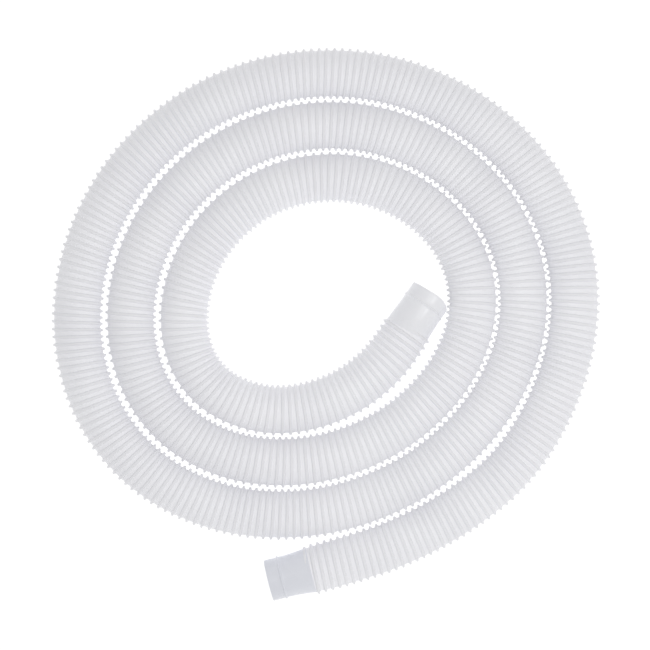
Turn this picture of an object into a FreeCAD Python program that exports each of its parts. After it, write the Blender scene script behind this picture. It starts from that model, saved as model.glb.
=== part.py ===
"""A 32 mm (1 1/4 in) pool vacuum hose with a cuff at each end, lying in a flat coil of about three turns.

The hose is a thin wall with a rib wound round it, drawn here as two coaxial tubes: the wall itself, and a
sleeve that holds the room the rib takes up. Both follow one route, from the cuff in the middle of the coil,
clockwise seen from above, out to the cuff beside the outermost turn. The sleeve lies on the floor, z = 0.
Lengths are in millimetres and angles in degrees.
"""
import FreeCAD, Part
import math
import os

import Sketcher

Vector = FreeCAD.Vector

# Driving dimensions: alias, value, meaning.
DIMENSIONS = [
    ("hose_bore", 35.6, "inside diameter of the hose wall"),
    ("wall_diameter", 38.0, "outside diameter of the hose wall, between the ribs"),
    ("rib_diameter", 42.4, "outside diameter of the hose over its ribs"),
    ("rib_clearance", 0.3, "play in diameter between the wall and the rib's sleeve"),
    ("cuff_bore", 32.0, "inside diameter of a cuff, the hose's nominal size"),
    ("cuff_diameter", 34.5, "outside diameter of a cuff between its mouth and its bead"),
    ("bead_diameter", 36.6, "outside diameter of the cuff's bead"),
    ("bead_width", 2.6, "width of the bead along the cuff"),
    ("bead_setback", 11.3, "distance from the mouth to the middle of the bead"),
    ("cuff_reach", 36.6, "length of a cuff outside the hose"),
    ("flare_length", 22.0, "length over which the cuff widens towards the hose"),
    ("shank_length", 15.0, "length of the cuff inside the hose"),
    ("shank_diameter", 35.2, "outside diameter of the cuff inside the hose"),
    ("lip_radius", 0.5, "rounding of the mouth's outer edge"),
    ("coil_middle_x", -11.5, "middle of the coil, east of the origin"),
    ("coil_middle_y", 13.9, "middle of the coil, north of the origin"),
    ("coil_base", 81.8, "distance from the middle to the hose's axis, before any turns are added"),
    ("turn_pitch", 43.5, "mean distance between the axes of neighbouring turns"),
    ("oval", 9.0, "how far the turns are drawn out into an oval"),
    ("oval_angle", -24.0, "direction of the oval's long axis, clockwise from +X"),
    ("egg", 1.65, "how far the turns bulge on one side, like an egg"),
    ("egg_angle", 6.7, "direction of the bulge, clockwise from +X"),
    ("drift", 1.0, "how far each turn's middle lies from the one inside it"),
    ("drift_angle", 173.0, "direction of that drift, clockwise from +X"),
    ("coil_first_angle", 100.0, "direction of the first point on the coil, clockwise from +X"),
    ("coil_last_angle", 1100.0, "direction of the last point on the coil, counted on over the turns"),
    ("coil_angle_step", 20.0, "angle between neighbouring points of the coil"),
]

# Where the hose isn't coiled its route is chosen by hand: from the inner cuff to the coil, and from the
# coil to the outer cuff.
INNER_TAIL = [(67.3, -5.3), (55.8, -24.3), (35.3, -45.3), (7.8, -62.3), (-24.7, -71.8)]
OUTER_TAIL = [(164.3, -111.8), (118.3, -152.3), (65.3, -181.3), (17.8, -197.4), (-12.2, -205.0)]

# The hose flexes in the last of its length at each end, between a run of the route and the cuff.
INNER_FLEX_RUN = 3
OUTER_FLEX_RUN = 3

# Along the coil the rib's sleeve is drawn as this many short arcs, each a simple shape, end to end.
RIB_ARCS = 12

# Each arc of the route takes this share of the shorter run beside it.
ARC_SHARE = 0.45


doc = FreeCAD.newDocument("vacuum_hose")
sheet = doc.addObject("Spreadsheet::Sheet", "dimensions")
for row, (alias, value, meaning) in enumerate(DIMENSIONS, start=1):
    sheet.set(f"A{row}", meaning)
    sheet.set(f"B{row}", str(value))
    sheet.setAlias(f"B{row}", alias)
doc.recompute()


def size(alias):
    return float(sheet.get(alias))


# ---- the route of the hose's axis -------------------------------------------------------------------

axis_height = size("rib_diameter") / 2


def coil_point(angle):
    """A point of the coil's control polygon, where its outward normal points at this clockwise angle.

    Reach is the distance from the middle to the hose's axis, measured square to the turn, so that
    neighbouring turns are one pitch apart, more on the side that they drift to and less on the other.
    The polygon's corners stand a little outside the axis.
    """
    half_way = (size("coil_first_angle") + size("coil_last_angle")) / 2
    drift = size("drift") * (angle - half_way) / 360
    drift_turn = math.radians(angle - size("drift_angle"))
    oval_turn = math.radians(2 * (angle - size("oval_angle")))
    egg_turn = math.radians(3 * (angle - size("egg_angle")))
    reach = (size("coil_base") + size("turn_pitch") * angle / 360
             + size("oval") * math.cos(oval_turn) + size("egg") * math.cos(egg_turn)
             + drift * math.cos(drift_turn))
    slope = (size("turn_pitch") / (2 * math.pi)
             - 2 * size("oval") * math.sin(oval_turn) - 3 * size("egg") * math.sin(egg_turn)
             - drift * math.sin(drift_turn) + size("drift") / (2 * math.pi) * math.cos(drift_turn))
    turn = math.radians(angle)
    corner = 1 / math.cos(math.radians(size("coil_angle_step") / 2))
    east = corner * (reach * math.cos(turn) - slope * math.sin(turn))
    south = corner * (reach * math.sin(turn) + slope * math.cos(turn))
    return (size("coil_middle_x") + east, size("coil_middle_y") - south)


def coil_points():
    steps = round((size("coil_last_angle") - size("coil_first_angle")) / size("coil_angle_step"))
    return [coil_point(size("coil_first_angle") + size("coil_angle_step") * i) for i in range(steps + 1)]


route = [Vector(x, y, axis_height) for x, y in INNER_TAIL + coil_points() + OUTER_TAIL]
first_flex_run = INNER_FLEX_RUN
last_flex_run = len(route) - 1 - OUTER_FLEX_RUN


def bend(before, corner, after):
    """The arc that rounds a corner of the route: its two ends, its middle and its radius."""
    back = before - corner
    on = after - corner
    share = ARC_SHARE * min(back.Length, on.Length)
    back.normalize()
    on.normalize()
    half_turn = (math.pi - back.getAngle(on)) / 2
    radius = share / math.tan(half_turn)
    inward = back + on
    inward.normalize()
    middle = corner + inward * (radius / math.cos(half_turn) - radius)
    return corner + back * share, middle, corner + on * share, radius


def middle_of_run(run):
    return (route[run] + route[run + 1]) * 0.5


def route_wire(start, first_corner, last_corner, end):
    """Straight runs joined by tangent arcs, from one place on the route to another."""
    edges = []
    here = start
    for i in range(first_corner, last_corner + 1):
        arc_start, arc_middle, arc_end, radius = bend(route[i - 1], route[i], route[i + 1])
        edges.append(Part.LineSegment(here, arc_start).toShape())
        edges.append(Part.Arc(arc_start, arc_middle, arc_end).toShape())
        here = arc_end
    edges.append(Part.LineSegment(here, end).toShape())
    return Part.Wire(edges)


radii = [bend(*route[i - 1:i + 2])[3] for i in range(1, len(route) - 1)]
print("radii of the route's arcs, mm:", " ".join(f"{radius:.0f}" for radius in radii))


# ---- the hose: a wall and a rib sleeve along each stretch -------------------------------------------

def add_path(name, wire):
    path = doc.addObject("Part::Feature", name)
    path.Shape = wire
    return path


def add_sweep(name, path, diameter_expression):
    """A round bar along the path, its diameter taken from the sheet."""
    start = path.Shape.OrderedVertexes[0].Point
    direction = path.Shape.OrderedEdges[0].tangentAt(path.Shape.OrderedEdges[0].FirstParameter)
    section = doc.addObject("Part::Circle", name + "_section")
    section.setExpression("Radius", f"({diameter_expression}) / 2")
    section.Placement = FreeCAD.Placement(start, FreeCAD.Rotation(Vector(0, 0, 1), direction))
    bar = doc.addObject("Part::Sweep", name)
    bar.Sections = [section]
    bar.Spine = (path, [f"Edge{i + 1}" for i in range(len(path.Shape.Edges))])
    bar.Solid = True
    bar.Frenet = False
    return bar


def add_tube(label, path, outside, inside):
    tube = doc.addObject("Part::Cut", label)
    tube.Base = add_sweep(label + "_outside", path, outside)
    tube.Tool = add_sweep(label + "_inside", path, inside)
    tube.Label = label
    return tube


def stretch_wire(first_run, last_run):
    """The route from the middle of one run to the middle of another."""
    return route_wire(middle_of_run(first_run), first_run + 1, last_run, middle_of_run(last_run))


inner_bend_wire = route_wire(route[0], 1, first_flex_run, middle_of_run(first_flex_run))
outer_bend_wire = route_wire(middle_of_run(last_flex_run), last_flex_run + 1, len(route) - 2, route[-1])
wall_wires = {
    "inner_bend": inner_bend_wire,
    "coil": stretch_wire(first_flex_run, last_flex_run),
    "outer_bend": outer_bend_wire,
}
cuts = [first_flex_run + round((last_flex_run - first_flex_run) * i / RIB_ARCS) for i in range(RIB_ARCS + 1)]
rib_wires = {"inner_bend": inner_bend_wire}
for i in range(RIB_ARCS):
    rib_wires[f"coil_{i + 1:02d}"] = stretch_wire(cuts[i], cuts[i + 1])
rib_wires["outer_bend"] = outer_bend_wire

parts = []
tubes = []
for stretch, wire in wall_wires.items():
    path = add_path("wall_path_" + stretch, wire)
    wall = add_tube("hose_wall_" + stretch, path, "dimensions.wall_diameter", "dimensions.hose_bore")
    parts.append(wall)
    tubes.append((wall, wire.Length, size("wall_diameter"), size("hose_bore")))
for stretch, wire in rib_wires.items():
    path = add_path("rib_path_" + stretch, wire)
    sleeve = add_tube("hose_rib_" + stretch, path, "dimensions.rib_diameter",
                      "dimensions.wall_diameter + dimensions.rib_clearance")
    parts.append(sleeve)
    tubes.append((sleeve, wire.Length, size("rib_diameter"), size("wall_diameter") + size("rib_clearance")))


# ---- the cuffs --------------------------------------------------------------------------------------

def origin_feature(body, role):
    return next(feature for feature in body.Origin.OriginFeatures if feature.Role == role)


def add_profile(body, name, corners):
    """A closed outline in the body's XZ plane, each corner at a radius and a height from the sheet."""
    sketch = body.newObject("Sketcher::SketchObject", name)
    sketch.AttachmentSupport = (origin_feature(body, "XZ_Plane"), [""])
    sketch.MapMode = "FlatFace"
    doc.recompute()
    guess = [Vector(20 + i, 5 * i, 0) for i in range(len(corners))]
    for i in range(len(corners)):
        sketch.addGeometry(Part.LineSegment(guess[i], guess[(i + 1) % len(corners)]), False)
    for i in range(len(corners)):
        sketch.addConstraint(Sketcher.Constraint("Coincident", i, 2, (i + 1) % len(corners), 1))
    for i, (radius, height) in enumerate(corners):
        across = sketch.addConstraint(Sketcher.Constraint("DistanceX", -1, 1, i, 1, guess[i].x))
        sketch.setExpression(f"Constraints[{across}]", radius)
        up = sketch.addConstraint(Sketcher.Constraint("DistanceY", -1, 1, i, 1, guess[i].y))
        sketch.setExpression(f"Constraints[{up}]", height)
    return sketch


def add_cuff(label, shoulder, direction):
    """A cuff: mouth, bead and flared barrel outside the hose, a shank inside it, and a bore through it all.

    Its own Z axis points out of its mouth, and its own origin is at the hose's end.
    """
    body = doc.addObject("PartDesign::Body", label)
    body.Label = label
    outline = add_profile(body, label + "_outline", [
        ("0 mm", "-dimensions.shank_length"),
        ("dimensions.shank_diameter / 2", "-dimensions.shank_length"),
        ("dimensions.shank_diameter / 2", "0 mm"),
        ("dimensions.wall_diameter / 2", "0 mm"),
        ("dimensions.cuff_diameter / 2", "dimensions.flare_length"),
        ("dimensions.cuff_diameter / 2", "dimensions.cuff_reach"),
        ("0 mm", "dimensions.cuff_reach"),
    ])
    barrel = body.newObject("PartDesign::Revolution", label + "_barrel")
    barrel.Profile = outline
    barrel.ReferenceAxis = (origin_feature(body, "Z_Axis"), [""])
    barrel.Angle = 360
    doc.recompute()

    bead = body.newObject("PartDesign::AdditiveTorus", label + "_bead")
    bead.setExpression("Radius1", "(dimensions.bead_diameter - dimensions.bead_width) / 2")
    bead.setExpression("Radius2", "dimensions.bead_width / 2")
    bead.AttachmentSupport = (origin_feature(body, "XY_Plane"), [""])
    bead.MapMode = "FlatFace"
    bead.setExpression(".AttachmentOffset.Base.z", "dimensions.cuff_reach - dimensions.bead_setback")
    doc.recompute()

    bore = body.newObject("PartDesign::SubtractiveCylinder", label + "_bore")
    bore.setExpression("Radius", "dimensions.cuff_bore / 2")
    bore.setExpression("Height", "dimensions.shank_length + dimensions.cuff_reach")
    bore.AttachmentSupport = (origin_feature(body, "XY_Plane"), [""])
    bore.MapMode = "FlatFace"
    bore.setExpression(".AttachmentOffset.Base.z", "-dimensions.shank_length")
    doc.recompute()

    mouth = size("cuff_reach")
    lip_edges = [f"Edge{i + 1}" for i, edge in enumerate(bore.Shape.Edges)
                 if isinstance(edge.Curve, Part.Circle)
                 and abs(edge.Curve.Center.z - mouth) < 0.01
                 and abs(edge.Curve.Radius - size("cuff_diameter") / 2) < 0.01]
    lip = body.newObject("PartDesign::Fillet", label + "_lip")
    lip.Base = (bore, lip_edges)
    lip.setExpression("Radius", "dimensions.lip_radius")
    body.Tip = lip
    body.Placement = FreeCAD.Placement(shoulder, FreeCAD.Rotation(Vector(0, 0, 1), direction))
    return body


inner_direction = (route[0] - route[1]).normalize()
outer_direction = (route[-1] - route[-2]).normalize()
parts.append(add_cuff("inner_cuff", route[0], inner_direction))
parts.append(add_cuff("outer_cuff", route[-1], outer_direction))


# ---- checks and files -------------------------------------------------------------------------------

doc.recompute()
for thing in doc.Objects:
    if "Invalid" in thing.State or "Error" in thing.State:
        raise RuntimeError(f"{thing.Label} failed: {thing.State}")
for part in parts:
    if part.Shape.isNull() or not part.Shape.isValid() or len(part.Shape.Solids) != 1:
        raise RuntimeError(f"{part.Label} has no valid solid")
for tube, length, outside, inside in tubes:
    expected = math.pi / 4 * (outside ** 2 - inside ** 2) * length
    if abs(tube.Shape.Volume / expected - 1) > 0.01:
        raise RuntimeError(f"{tube.Label} has volume {tube.Shape.Volume:.0f}, not {expected:.0f}")

os.makedirs("parts", exist_ok=True)
for part in parts:
    part.Shape.exportStep(f"parts/{part.Label}.step")
hose_length = sum(wire.Length for wire in wall_wires.values())
print(f"hose length {hose_length:.0f} mm, over both cuffs {hose_length + 2 * size('cuff_reach'):.0f} mm")
box = Part.makeCompound([part.Shape for part in parts]).BoundBox
print(f"box x {box.XMin:.2f} {box.XMax:.2f}, y {box.YMin:.2f} {box.YMax:.2f}, z {box.ZMin:.2f} {box.ZMax:.2f}")
for name, direction in (("inner", inner_direction), ("outer", outer_direction)):
    print(f"{name} cuff direction {direction.x:.6f} {direction.y:.6f} {direction.z:.6f}")
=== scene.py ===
"""The looks of the pool vacuum hose: wall, helical rib and two cuffs, with floor, lights and camera."""
import math

import bmesh
import bpy
import numpy as np
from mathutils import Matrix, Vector


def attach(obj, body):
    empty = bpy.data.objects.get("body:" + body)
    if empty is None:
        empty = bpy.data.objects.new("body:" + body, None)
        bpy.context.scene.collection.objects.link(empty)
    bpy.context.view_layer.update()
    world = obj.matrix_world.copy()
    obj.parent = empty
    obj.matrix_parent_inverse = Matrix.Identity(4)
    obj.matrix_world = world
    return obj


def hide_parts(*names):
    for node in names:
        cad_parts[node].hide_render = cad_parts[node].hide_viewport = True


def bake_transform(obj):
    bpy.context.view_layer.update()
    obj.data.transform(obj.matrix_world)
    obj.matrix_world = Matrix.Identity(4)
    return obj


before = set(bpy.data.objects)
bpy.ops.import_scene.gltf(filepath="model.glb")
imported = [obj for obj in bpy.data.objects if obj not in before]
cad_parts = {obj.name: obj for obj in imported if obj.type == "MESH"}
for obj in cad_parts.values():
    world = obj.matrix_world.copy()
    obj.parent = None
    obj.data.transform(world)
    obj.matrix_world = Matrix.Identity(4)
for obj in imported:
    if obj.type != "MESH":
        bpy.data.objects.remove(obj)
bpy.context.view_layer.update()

# ---- sizes, in metres, as the CAD part has them ----------------------------------------------------
HOSE_BORE = 0.0356
WALL_DIAMETER = 0.0380
RIB_DIAMETER = 0.0424
CUFF_BORE = 0.0320
CUFF_DIAMETER = 0.0345
BEAD_DIAMETER = 0.0366
BEAD_WIDTH = 0.0026
BEAD_SETBACK = 0.0113
CUFF_REACH = 0.0366
SHANK_LENGTH = 0.0150
SHANK_DIAMETER = 0.0352
AXIS_HEIGHT = RIB_DIAMETER / 2

# ---- the route of the hose's axis ------------------------------------------------------------------
INNER_TAIL = [(0.0673, -0.0053), (0.0558, -0.0243), (0.0353, -0.0453), (0.0078, -0.0623),
              (-0.0247, -0.0718)]
OUTER_TAIL = [(0.1643, -0.1118), (0.1183, -0.1523), (0.0653, -0.1813), (0.0178, -0.1974),
              (-0.0122, -0.2050)]
COIL_MIDDLE = (-0.0115, 0.0139)
COIL_BASE = 0.0818
TURN_PITCH = 0.0435
OVAL, OVAL_ANGLE = 0.0090, -24
EGG, EGG_ANGLE = 0.00165, 6.7
DRIFT, DRIFT_ANGLE = 0.0010, 173
FIRST_ANGLE, LAST_ANGLE, ANGLE_STEP = 100, 1100, 20


def coil_point(angle):
    """A control point of the coil, where its outward normal points at this clockwise angle in degrees."""
    drift = DRIFT * (angle - (FIRST_ANGLE + LAST_ANGLE) / 2) / 360
    drift_turn = math.radians(angle - DRIFT_ANGLE)
    oval_turn = math.radians(2 * (angle - OVAL_ANGLE))
    egg_turn = math.radians(3 * (angle - EGG_ANGLE))
    reach = (COIL_BASE + TURN_PITCH * angle / 360 + OVAL * math.cos(oval_turn) + EGG * math.cos(egg_turn)
             + drift * math.cos(drift_turn))
    slope = (TURN_PITCH / (2 * math.pi) - 2 * OVAL * math.sin(oval_turn) - 3 * EGG * math.sin(egg_turn)
             - drift * math.sin(drift_turn) + DRIFT / (2 * math.pi) * math.cos(drift_turn))
    turn = math.radians(angle)
    corner = 1 / math.cos(math.radians(ANGLE_STEP / 2))
    east = corner * (reach * math.cos(turn) - slope * math.sin(turn))
    south = corner * (reach * math.sin(turn) + slope * math.cos(turn))
    return (COIL_MIDDLE[0] + east, COIL_MIDDLE[1] - south)


COIL = [coil_point(angle) for angle in range(FIRST_ANGLE, LAST_ANGLE + 1, ANGLE_STEP)]
ROUTE = INNER_TAIL + COIL + OUTER_TAIL


def smooth_route():
    """The points of one NURBS spline through the route, from the inner cuff to the outer one."""
    data = bpy.data.curves.new("route", "CURVE")
    data.dimensions = "3D"
    data.resolution_u = 40
    spline = data.splines.new("NURBS")
    spline.points.add(len(ROUTE) - 1)
    for point, (x, y) in zip(spline.points, ROUTE):
        point.co = (x, y, AXIS_HEIGHT, 1)
    spline.order_u = 3
    spline.use_endpoint_u = True
    route = bpy.data.objects.new("route", data)
    mesh = bpy.data.meshes.new_from_object(route)
    line = np.array([v.co for v in mesh.vertices], float)
    bpy.data.meshes.remove(mesh)
    bpy.data.objects.remove(route)
    bpy.data.curves.remove(data)
    return line


LINE = smooth_route()
STEPS = np.linalg.norm(np.diff(LINE, axis=0), axis=1)
ALONG = np.concatenate([[0], np.cumsum(STEPS)])
END = float(ALONG[-1])
TANGENTS = np.gradient(LINE, ALONG, axis=0)
HEADINGS = np.unwrap(np.arctan2(TANGENTS[:, 1], TANGENTS[:, 0]))
CURVATURES = np.gradient(HEADINGS, ALONG)


def place(s, across, up):
    """Points beside the axis: s along it, across to its left and up, all arrays of one shape."""
    heading = np.interp(s, ALONG, HEADINGS)
    past = s - np.clip(s, 0, END)
    x = np.interp(s, ALONG, LINE[:, 0]) + past * np.cos(heading)
    y = np.interp(s, ALONG, LINE[:, 1]) + past * np.sin(heading)
    return np.stack([x - across * np.sin(heading), y + across * np.cos(heading), AXIS_HEIGHT + up], axis=-1)


def along_of(point):
    """How far along the axis a place in the plane is."""
    return float(ALONG[np.argmin(np.linalg.norm(LINE[:, :2] - np.array(point), axis=1))])


def middle_of_run(run):
    """The middle of a run of the route, from one of its points to the next."""
    return ((ROUTE[run][0] + ROUTE[run + 1][0]) / 2, (ROUTE[run][1] + ROUTE[run + 1][1]) / 2)


# Where the rib first and last passes the hose's left side, going from the inner cuff to the outer one.
RIB_TURNS = 520
RIB_FIRST = -0.0009
RIB_LAST = END - 0.00165
RIB_PITCH = (RIB_LAST - RIB_FIRST) / RIB_TURNS

# The hose flexes from the middle of the fourth run at each end to a little past the cuff's shank.
FLEX_RUN = 3
INNER_CUT = along_of(middle_of_run(FLEX_RUN))
OUTER_CUT = along_of(middle_of_run(len(ROUTE) - 1 - FLEX_RUN))

# ---- mesh helpers ----------------------------------------------------------------------------------
MERGE_DISTANCE = 1e-7


def grid_object(name, points, wrap_rows, sharp_angle):
    """A mesh over a grid of points, closed round its columns and, if asked, its rows."""
    rows, columns = points.shape[:2]
    last = rows if wrap_rows else rows - 1
    i, j = np.meshgrid(np.arange(last), np.arange(columns), indexing="ij")
    up, right = (i + 1) % rows, (j + 1) % columns
    quads = np.stack([i * columns + j, i * columns + right,
                      up * columns + right, up * columns + j], axis=-1)
    mesh = bpy.data.meshes.new(name)
    mesh.vertices.add(rows * columns)
    mesh.vertices.foreach_set("co", points.astype(np.float32).ravel())
    mesh.loops.add(quads.size)
    mesh.loops.foreach_set("vertex_index", quads.astype(np.int32).ravel())
    mesh.polygons.add(quads.size // 4)
    mesh.polygons.foreach_set("loop_start", np.arange(0, quads.size, 4, dtype=np.int32))
    mesh.update(calc_edges=True)
    build = bmesh.new()
    build.from_mesh(mesh)
    bmesh.ops.remove_doubles(build, verts=build.verts, dist=MERGE_DISTANCE)
    bmesh.ops.recalc_face_normals(build, faces=build.faces)
    if not wrap_rows:
        bmesh.ops.holes_fill(build, edges=[e for e in build.edges if e.is_boundary])
        bmesh.ops.recalc_face_normals(build, faces=build.faces)
    build.to_mesh(mesh)
    build.free()
    mesh.shade_smooth()
    mesh.set_sharp_from_angle(angle=math.radians(sharp_angle))
    thing = bpy.data.objects.new(name, mesh)
    bpy.context.scene.collection.objects.link(thing)
    return thing


# ---- the hose wall ---------------------------------------------------------------------------------
WALL_SIDES = 44
WALL_ROWS_PER_TURN = 4
WALL_EDGE_ANGLE = 50
WALL_CROWN = 0.0003
# The seam halfway between two passes of the rib. Its width is a share of a turn.
SEAM_DEPTH = 0.0001
SEAM_WIDTH = 0.08
END_NARROWING = 0.0004
NARROWING_LENGTH = 0.016
BORE_ROW_LENGTH = 0.018
FEWEST_BORE_ROWS = 3


def wall_radius(s, turns):
    """The wall bulges a little between ribs and has a shallow seam halfway; it narrows at the cuffs."""
    phase = turns - np.floor(turns)
    crown = WALL_CROWN * np.sin(2 * math.pi * phase) ** 2
    seam = SEAM_DEPTH * np.exp(-((phase - 0.5) / SEAM_WIDTH) ** 2)
    to_end = np.minimum(s, END - s)
    narrow = END_NARROWING * np.clip(1 - to_end / NARROWING_LENGTH, 0, 1) ** 2
    return WALL_DIAMETER / 2 + crown - seam - narrow


def make_wall(name, start, end):
    """A stretch of the wall, its outside in rows that run along the rib, and its bore in plain rings."""
    angle = np.linspace(0, 2 * math.pi, WALL_SIDES, endpoint=False)
    spacing = RIB_PITCH / WALL_ROWS_PER_TURN
    first, last = (start - RIB_FIRST) / spacing, (end - RIB_FIRST) / spacing
    rows = np.arange(math.floor(first) - 1, math.ceil(last) + WALL_ROWS_PER_TURN + 2)
    turns = rows[:, None] / WALL_ROWS_PER_TURN + 0 * angle[None, :]
    s = np.clip(RIB_FIRST + RIB_PITCH * (turns - angle[None, :] / (2 * math.pi)), start, end)
    real_turns = (s - RIB_FIRST) / RIB_PITCH + angle[None, :] / (2 * math.pi)
    radius = wall_radius(s, real_turns)
    outside = place(s, radius * np.cos(angle), radius * np.sin(angle))
    bore_rows = np.linspace(end, start, max(FEWEST_BORE_ROWS, round((end - start) / BORE_ROW_LENGTH)))
    bore_s = bore_rows[:, None] + 0 * angle[None, :]
    bore = HOSE_BORE / 2
    inside = place(bore_s, bore * np.cos(angle) + 0 * bore_s, bore * np.sin(angle) + 0 * bore_s)
    points = np.concatenate([outside, inside])
    return grid_object(name, points, True, WALL_EDGE_ANGLE)


# ---- the helical rib -------------------------------------------------------------------------------
RIB_SIDES = 32
RIB_EDGE_ANGLE = 70
RIB_SINK = 0.0003
RIB_HEIGHT = (RIB_DIAMETER - WALL_DIAMETER) / 2
# In turns: where the rib starts and ends, and over how much it rises and falls there.
RIB_START, RIB_RISE = -0.25, 0.2
RIB_END, RIB_FALL = RIB_TURNS + 0.8, 0.6
RISE_POWER = 0.7
# How far below the wall's outside the rib's foot lies at its very ends.
RIB_END_DIP = 0.0012
FEWEST_RIB_STEPS = 8
# The fin's section: half widths along the hose and shares of its height. Its foot spreads into the wall.
RIB_HALF = [(0.0021, 0), (0.00115, 0.42), (0.00068, 1)]
RIB_SECTION = [(-half, share) for half, share in RIB_HALF]
RIB_SECTION += [(half, share) for half, share in RIB_HALF[::-1]]


def turns_at(s):
    """How many turns the rib has made from its first pass of the left side to where it reaches s."""
    return (s - RIB_FIRST) / RIB_PITCH


def make_rib(name, first, last):
    """The stretch of the rib between two numbers of turns."""
    count = max(FEWEST_RIB_STEPS, round((last - first) * RIB_SIDES))
    turns = np.linspace(first, last, count + 1)
    middle = RIB_FIRST + RIB_PITCH * turns
    angle = -2 * math.pi * turns
    curvature = np.interp(middle, ALONG, CURVATURES)
    squeeze = 1 - curvature * WALL_DIAMETER / 2 * np.cos(angle)
    ends = np.minimum((turns - RIB_START) / RIB_RISE, (RIB_END - turns) / RIB_FALL)
    height = np.clip(ends, 0, 1) ** RISE_POWER
    columns = []
    for half, share in RIB_SECTION:
        s = middle + half / squeeze
        foot = WALL_DIAMETER / 2 - RIB_SINK - RIB_END_DIP * (1 - height)
        radius = foot + (RIB_HEIGHT + RIB_SINK) * share * height
        columns.append(place(s, radius * np.cos(angle), radius * np.sin(angle)))
    return grid_object(name, np.stack(columns, axis=1), False, RIB_EDGE_ANGLE)


# ---- the cuffs -------------------------------------------------------------------------------------
CUFF_SIDES = 112
CUFF_EDGE_ANGLE = 55
LIP_RADIUS = 0.0005
MOUTH_CHAMFER = 0.0003
SHANK_CHAMFER = 0.0004
SHOULDER_STEP = 0.0002
SHOULDER_DIAMETER = 0.0380
FLARE_LENGTH = 0.0225
FLARE_POWER = 1.7
# How many points draw the flare, the bead and the lip.
FLARE_POINTS, BEAD_POINTS, LIP_POINTS = 12, 13, 5
BAND_HEIGHTS = (0.0296, 0.0315, 0.0335, 0.0352)
BORE_HEIGHTS = (0.030, 0.022, 0.012, 0, -0.012, -SHANK_LENGTH)


def cuff_profile():
    """The cuff's section as (height above the hose's end, radius), once round from the shank's outside."""
    bore, barrel, shank = CUFF_BORE / 2, CUFF_DIAMETER / 2, SHANK_DIAMETER / 2
    shoulder = SHOULDER_DIAMETER / 2
    bead_middle = CUFF_REACH - BEAD_SETBACK
    bead_height = (BEAD_DIAMETER - CUFF_DIAMETER) / 2
    points = [(-SHANK_LENGTH, shank - SHANK_CHAMFER), (-SHANK_LENGTH + SHANK_CHAMFER, shank)]
    points += [(-SHOULDER_STEP, shank), (0, shoulder)]
    for share in np.linspace(0, 1, FLARE_POINTS)[1:]:
        points.append((FLARE_LENGTH * share, barrel + (shoulder - barrel) * (1 - share) ** FLARE_POWER))
    for share in np.linspace(-1, 1, BEAD_POINTS):
        rise = bead_height * (0.5 + 0.5 * math.cos(math.pi * share))
        points.append((bead_middle + share * BEAD_WIDTH / 2, barrel + rise))
    for height in BAND_HEIGHTS:
        points.append((height, barrel))
    for turn in np.linspace(0, math.pi / 2, LIP_POINTS):
        height = CUFF_REACH - LIP_RADIUS * (1 - math.sin(turn))
        points.append((height, barrel - LIP_RADIUS * (1 - math.cos(turn))))
    points += [(CUFF_REACH, bore + MOUTH_CHAMFER), (CUFF_REACH - MOUTH_CHAMFER, bore)]
    for height in BORE_HEIGHTS:
        points.append((height, bore))
    return np.array(points)


def make_cuff(name, shoulder, direction, pressed):
    """A cuff whose mouth points along direction. pressed moves its points, given (height, across, up)."""
    profile = cuff_profile()
    angle = np.linspace(0, 2 * math.pi, CUFF_SIDES, endpoint=False)
    height = profile[:, :1] + 0 * angle[None, :]
    across = profile[:, 1:] * np.cos(angle)[None, :]
    up = profile[:, 1:] * np.sin(angle)[None, :]
    height, across, up = pressed(height, across, up)
    x = shoulder[0] + direction[0] * height - direction[1] * across
    y = shoulder[1] + direction[1] * height + direction[0] * across
    return grid_object(name, np.stack([x, y, AXIS_HEIGHT + up], axis=-1), True, CUFF_EDGE_ANGLE)


# The inner cuff's press against the turn beside it: how far it leans for each metre of height, how much
# wider than high it is and from what share of its height, and how far its rim goes back and forward.
LEAN = 0.063
FLATTENING = 0.058
FLAT_FROM, FLAT_POWER = 0.35, 0.7
PRESSED_FROM = 0.05
RIM_BACK = 0.0080
RIM_FORWARD = 0.0015
# The dip there, with its place and width as shares of the radius and of the cuff's reach.
CREASE_DEPTH = 0.0010
CREASE_SIDE, CREASE_SIDE_WIDTH = 0.86, 0.10
CREASE_ALONG, CREASE_LENGTH = 0.80, 0.16


def leaning_cuff(height, across, up):
    """The inner cuff leans to its right, onto the turn beside it, and is pressed wider than it is high.

    Its rim is pushed back on the right, where it also dips inwards.
    """
    radius = CUFF_DIAMETER / 2
    along = np.clip(height / CUFF_REACH, 0, 1)
    flat = FLATTENING * np.clip(along / FLAT_FROM, 0, 1) ** FLAT_POWER
    side = np.clip((-across / radius - PRESSED_FROM) / (1 - PRESSED_FROM), 0, 1)
    height = height + RIM_FORWARD * along - RIM_BACK * (1 - np.sqrt(1 - side ** 2)) * along ** 2
    crease_side = np.exp(-((side - CREASE_SIDE) / CREASE_SIDE_WIDTH) ** 2)
    crease_along = np.exp(-((along - CREASE_ALONG) / CREASE_LENGTH) ** 2)
    crease = CREASE_DEPTH * crease_side * crease_along * (up > 0)
    lean = -LEAN * np.maximum(height, 0)
    return height, across * (1 + flat) + crease + lean, up * (1 - flat) - crease


def plain_cuff(height, across, up):
    """The outer cuff touches nothing, so it keeps its shape."""
    return height, across, up


def unit(x, y):
    length = math.hypot(x, y)
    return (x / length, y / length)


INNER_DIRECTION = unit(ROUTE[0][0] - ROUTE[1][0], ROUTE[0][1] - ROUTE[1][1])
OUTER_DIRECTION = unit(ROUTE[-1][0] - ROUTE[-2][0], ROUTE[-1][1] - ROUTE[-2][1])

# ---- materials -------------------------------------------------------------------------------------
# Nearly all of a noise's values lie between these two.
NOISE_LOW, NOISE_HIGH = 0.3, 0.7


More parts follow.
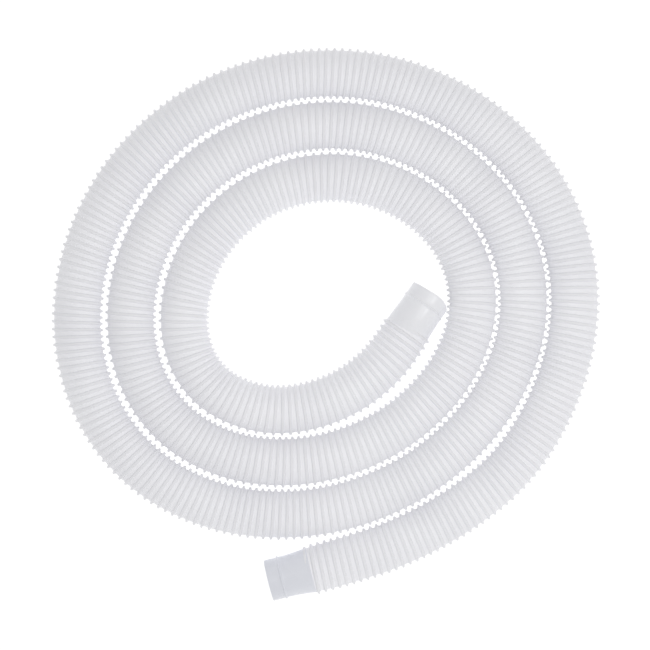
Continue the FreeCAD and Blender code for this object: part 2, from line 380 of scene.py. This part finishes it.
def new_material(name):
    material = bpy.data.materials.new(name)
    material.use_nodes = True
    nodes = material.node_tree.nodes
    shader = nodes["Principled BSDF"]
    return material, nodes, material.node_tree.links, shader


def mapped_noise(nodes, links, scale, detail, roughness):
    place_node = nodes.new("ShaderNodeTexCoord")
    noise = nodes.new("ShaderNodeTexNoise")
    noise.inputs["Scale"].default_value = scale
    noise.inputs["Detail"].default_value = detail
    noise.inputs["Roughness"].default_value = roughness
    links.new(place_node.outputs["Object"], noise.inputs["Vector"])
    return noise.outputs["Fac"]


def ramp(nodes, links, source, low_colour, high_colour):
    node = nodes.new("ShaderNodeValToRGB")
    node.color_ramp.elements[0].position = NOISE_LOW
    node.color_ramp.elements[0].color = (*low_colour, 1)
    node.color_ramp.elements[1].position = NOISE_HIGH
    node.color_ramp.elements[1].color = (*high_colour, 1)
    links.new(source, node.inputs["Fac"])
    return node.outputs["Color"]


def spread_value(nodes, links, source, low, high):
    node = nodes.new("ShaderNodeMapRange")
    node.inputs["From Min"].default_value = NOISE_LOW
    node.inputs["From Max"].default_value = NOISE_HIGH
    node.inputs["To Min"].default_value = low
    node.inputs["To Max"].default_value = high
    links.new(source, node.inputs["Value"])
    return node.outputs["Result"]


def bump(nodes, links, source, strength, distance):
    node = nodes.new("ShaderNodeBump")
    node.inputs["Strength"].default_value = strength
    node.inputs["Distance"].default_value = distance
    links.new(source, node.inputs["Height"])
    return node.outputs["Normal"]


# The glow stands in for the light that comes through the thin, slightly translucent plastic.
GLOW = 0.065
CLOUD_SCALE, STREAK_SCALE, GRAIN_SCALE = 22, 90, 900
ROUGHNESS_SPREAD = 0.07
GRAIN_STRENGTH, GRAIN_DEPTH = 0.12, 0.0002
PLASTIC_IOR = 1.5


def plastic(name, low_colour, high_colour, roughness, gloss):
    """White polyethylene: cloudy colour, uneven sheen and a faint moulded grain."""
    material, nodes, links, shader = new_material(name)
    clouds = mapped_noise(nodes, links, CLOUD_SCALE, 3, 0.55)
    links.new(ramp(nodes, links, clouds, low_colour, high_colour), shader.inputs["Base Color"])
    streaks = mapped_noise(nodes, links, STREAK_SCALE, 4, 0.6)
    low, high = roughness - ROUGHNESS_SPREAD, roughness + ROUGHNESS_SPREAD
    links.new(spread_value(nodes, links, streaks, low, high), shader.inputs["Roughness"])
    grain = mapped_noise(nodes, links, GRAIN_SCALE, 2, 0.5)
    links.new(bump(nodes, links, grain, GRAIN_STRENGTH, GRAIN_DEPTH), shader.inputs["Normal"])
    shader.inputs["IOR"].default_value = PLASTIC_IOR
    shader.inputs["Specular IOR Level"].default_value = gloss
    shader.inputs["Emission Color"].default_value = (1, 1, 1, 1)
    shader.inputs["Emission Strength"].default_value = GLOW
    return material


wall_material = plastic("hose_wall_plastic", (0.925, 0.925, 0.955), (0.96, 0.96, 0.985), 0.48, 0.12)
# The rib is the wall's plastic painted darker: painted shade, so that its fins look grey against the white
# floor.
shaded_rib_material = plastic("hose_rib_plastic_painted_shade", (0.875, 0.875, 0.905), (0.915, 0.915, 0.94), 0.52, 0.12)
# The two cuffs are one plastic: the outer cuff's darker colour is painted shade, a shaded copy of the inner
# cuff's plastic.
inner_cuff_material = plastic("inner_cuff_plastic", (0.87, 0.875, 0.91), (0.92, 0.925, 0.955), 0.24, 0.32)
shaded_outer_cuff_material = plastic("outer_cuff_plastic_painted_shade", (0.765, 0.78, 0.84), (0.815, 0.83, 0.89), 0.30, 0.25)

# ---- the pieces ------------------------------------------------------------------------------------


RIB_ARC_NODES = [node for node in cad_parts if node.startswith("hose_rib_coil_")]


def finish_piece(thing, material, slot, *nodes):
    thing.data.materials.append(material)
    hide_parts(*nodes)
    return thing


wall_coil = finish_piece(make_wall("hose_wall_coil_skin", INNER_CUT, OUTER_CUT),
                         wall_material, "hose_wall", "hose_wall_coil")
wall_inner = finish_piece(make_wall("hose_wall_inner_skin", 0, INNER_CUT),
                          wall_material, "hose_wall", "hose_wall_inner_bend")
wall_outer = finish_piece(make_wall("hose_wall_outer_skin", OUTER_CUT, END),
                          wall_material, "hose_wall", "hose_wall_outer_bend")
rib_coil = finish_piece(make_rib("hose_rib_coil_fin", turns_at(INNER_CUT), turns_at(OUTER_CUT)),
                        shaded_rib_material, "hose_rib", *RIB_ARC_NODES)
rib_inner = finish_piece(make_rib("hose_rib_inner_fin", RIB_START, turns_at(INNER_CUT)),
                         shaded_rib_material, "hose_rib", "hose_rib_inner_bend")
rib_outer = finish_piece(make_rib("hose_rib_outer_fin", turns_at(OUTER_CUT), RIB_END),
                         shaded_rib_material, "hose_rib", "hose_rib_outer_bend")
inner_cuff = finish_piece(make_cuff("inner_cuff_moulding", ROUTE[0], INNER_DIRECTION, leaning_cuff),
                          inner_cuff_material, "cuff", "inner_cuff")
outer_cuff = finish_piece(make_cuff("outer_cuff_moulding", ROUTE[-1], OUTER_DIRECTION, plain_cuff),
                          shaded_outer_cuff_material, "cuff", "outer_cuff")


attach(wall_coil, "root")
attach(rib_coil, "root")
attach(inner_cuff, "inner_end")
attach(outer_cuff, "outer_end")
for piece in (wall_inner, rib_inner):
    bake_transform(piece)
for piece in (wall_outer, rib_outer):
    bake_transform(piece)

# ---- floor, light and camera -----------------------------------------------------------------------
FLOOR_SIZE, FLOOR_DROP = 8, 0.0002
FLOOR_GREY, FLOOR_GLOW = 0.35, 0.82
SKY_STRENGTH = 0.52
CAMERA_PLACE = (-0.0007, -0.0006)
CAMERA_DISTANCE, CAMERA_FIELD = 2.0, 0.5427


def make_floor():
    bpy.ops.mesh.primitive_plane_add(size=FLOOR_SIZE, location=(0, 0, -FLOOR_DROP))
    floor = bpy.context.object
    floor.name = "floor"
    material, _, _, shader = new_material("white_floor")
    shader.inputs["Base Color"].default_value = (FLOOR_GREY, FLOOR_GREY, FLOOR_GREY, 1)
    shader.inputs["Roughness"].default_value = 1
    shader.inputs["Specular IOR Level"].default_value = 0
    shader.inputs["Emission Color"].default_value = (1, 1, 1, 1)
    shader.inputs["Emission Strength"].default_value = FLOOR_GLOW
    floor.data.materials.append(material)


def make_world():
    world = bpy.data.worlds.new("studio")
    bpy.context.scene.world = world
    world.use_nodes = True
    world.node_tree.nodes["Background"].inputs["Color"].default_value = (1, 1, 1, 1)
    world.node_tree.nodes["Background"].inputs["Strength"].default_value = SKY_STRENGTH


def make_softbox(name, place_at, size, power):
    """A round soft light that faces the middle of the floor."""
    data = bpy.data.lights.new(name, "AREA")
    data.shape = "DISK"
    data.size = size
    data.energy = power
    lamp = bpy.data.objects.new(name, data)
    bpy.context.scene.collection.objects.link(lamp)
    lamp.location = place_at
    lamp.rotation_mode = "QUATERNION"
    lamp.rotation_quaternion = (-Vector(place_at)).to_track_quat("-Z", "Y")


def make_camera():
    """The camera looks straight down on the coil."""
    data = bpy.data.cameras.new("camera")
    camera = bpy.data.objects.new("camera", data)
    bpy.context.scene.collection.objects.link(camera)
    data.sensor_width = 36
    data.lens = data.sensor_width * CAMERA_DISTANCE / CAMERA_FIELD
    camera.location = (*CAMERA_PLACE, AXIS_HEIGHT + CAMERA_DISTANCE)
    camera.rotation_euler = (0, 0, 0)
    bpy.context.scene.camera = camera


make_floor()
make_world()
make_softbox("overhead", (0.12, -0.08, 0.95), 0.5, 1.45)
make_softbox("side_window", (0.80, -0.48, 2.0), 0.45, 4.25)
make_camera()
bpy.context.scene.view_settings.view_transform = "Standard"
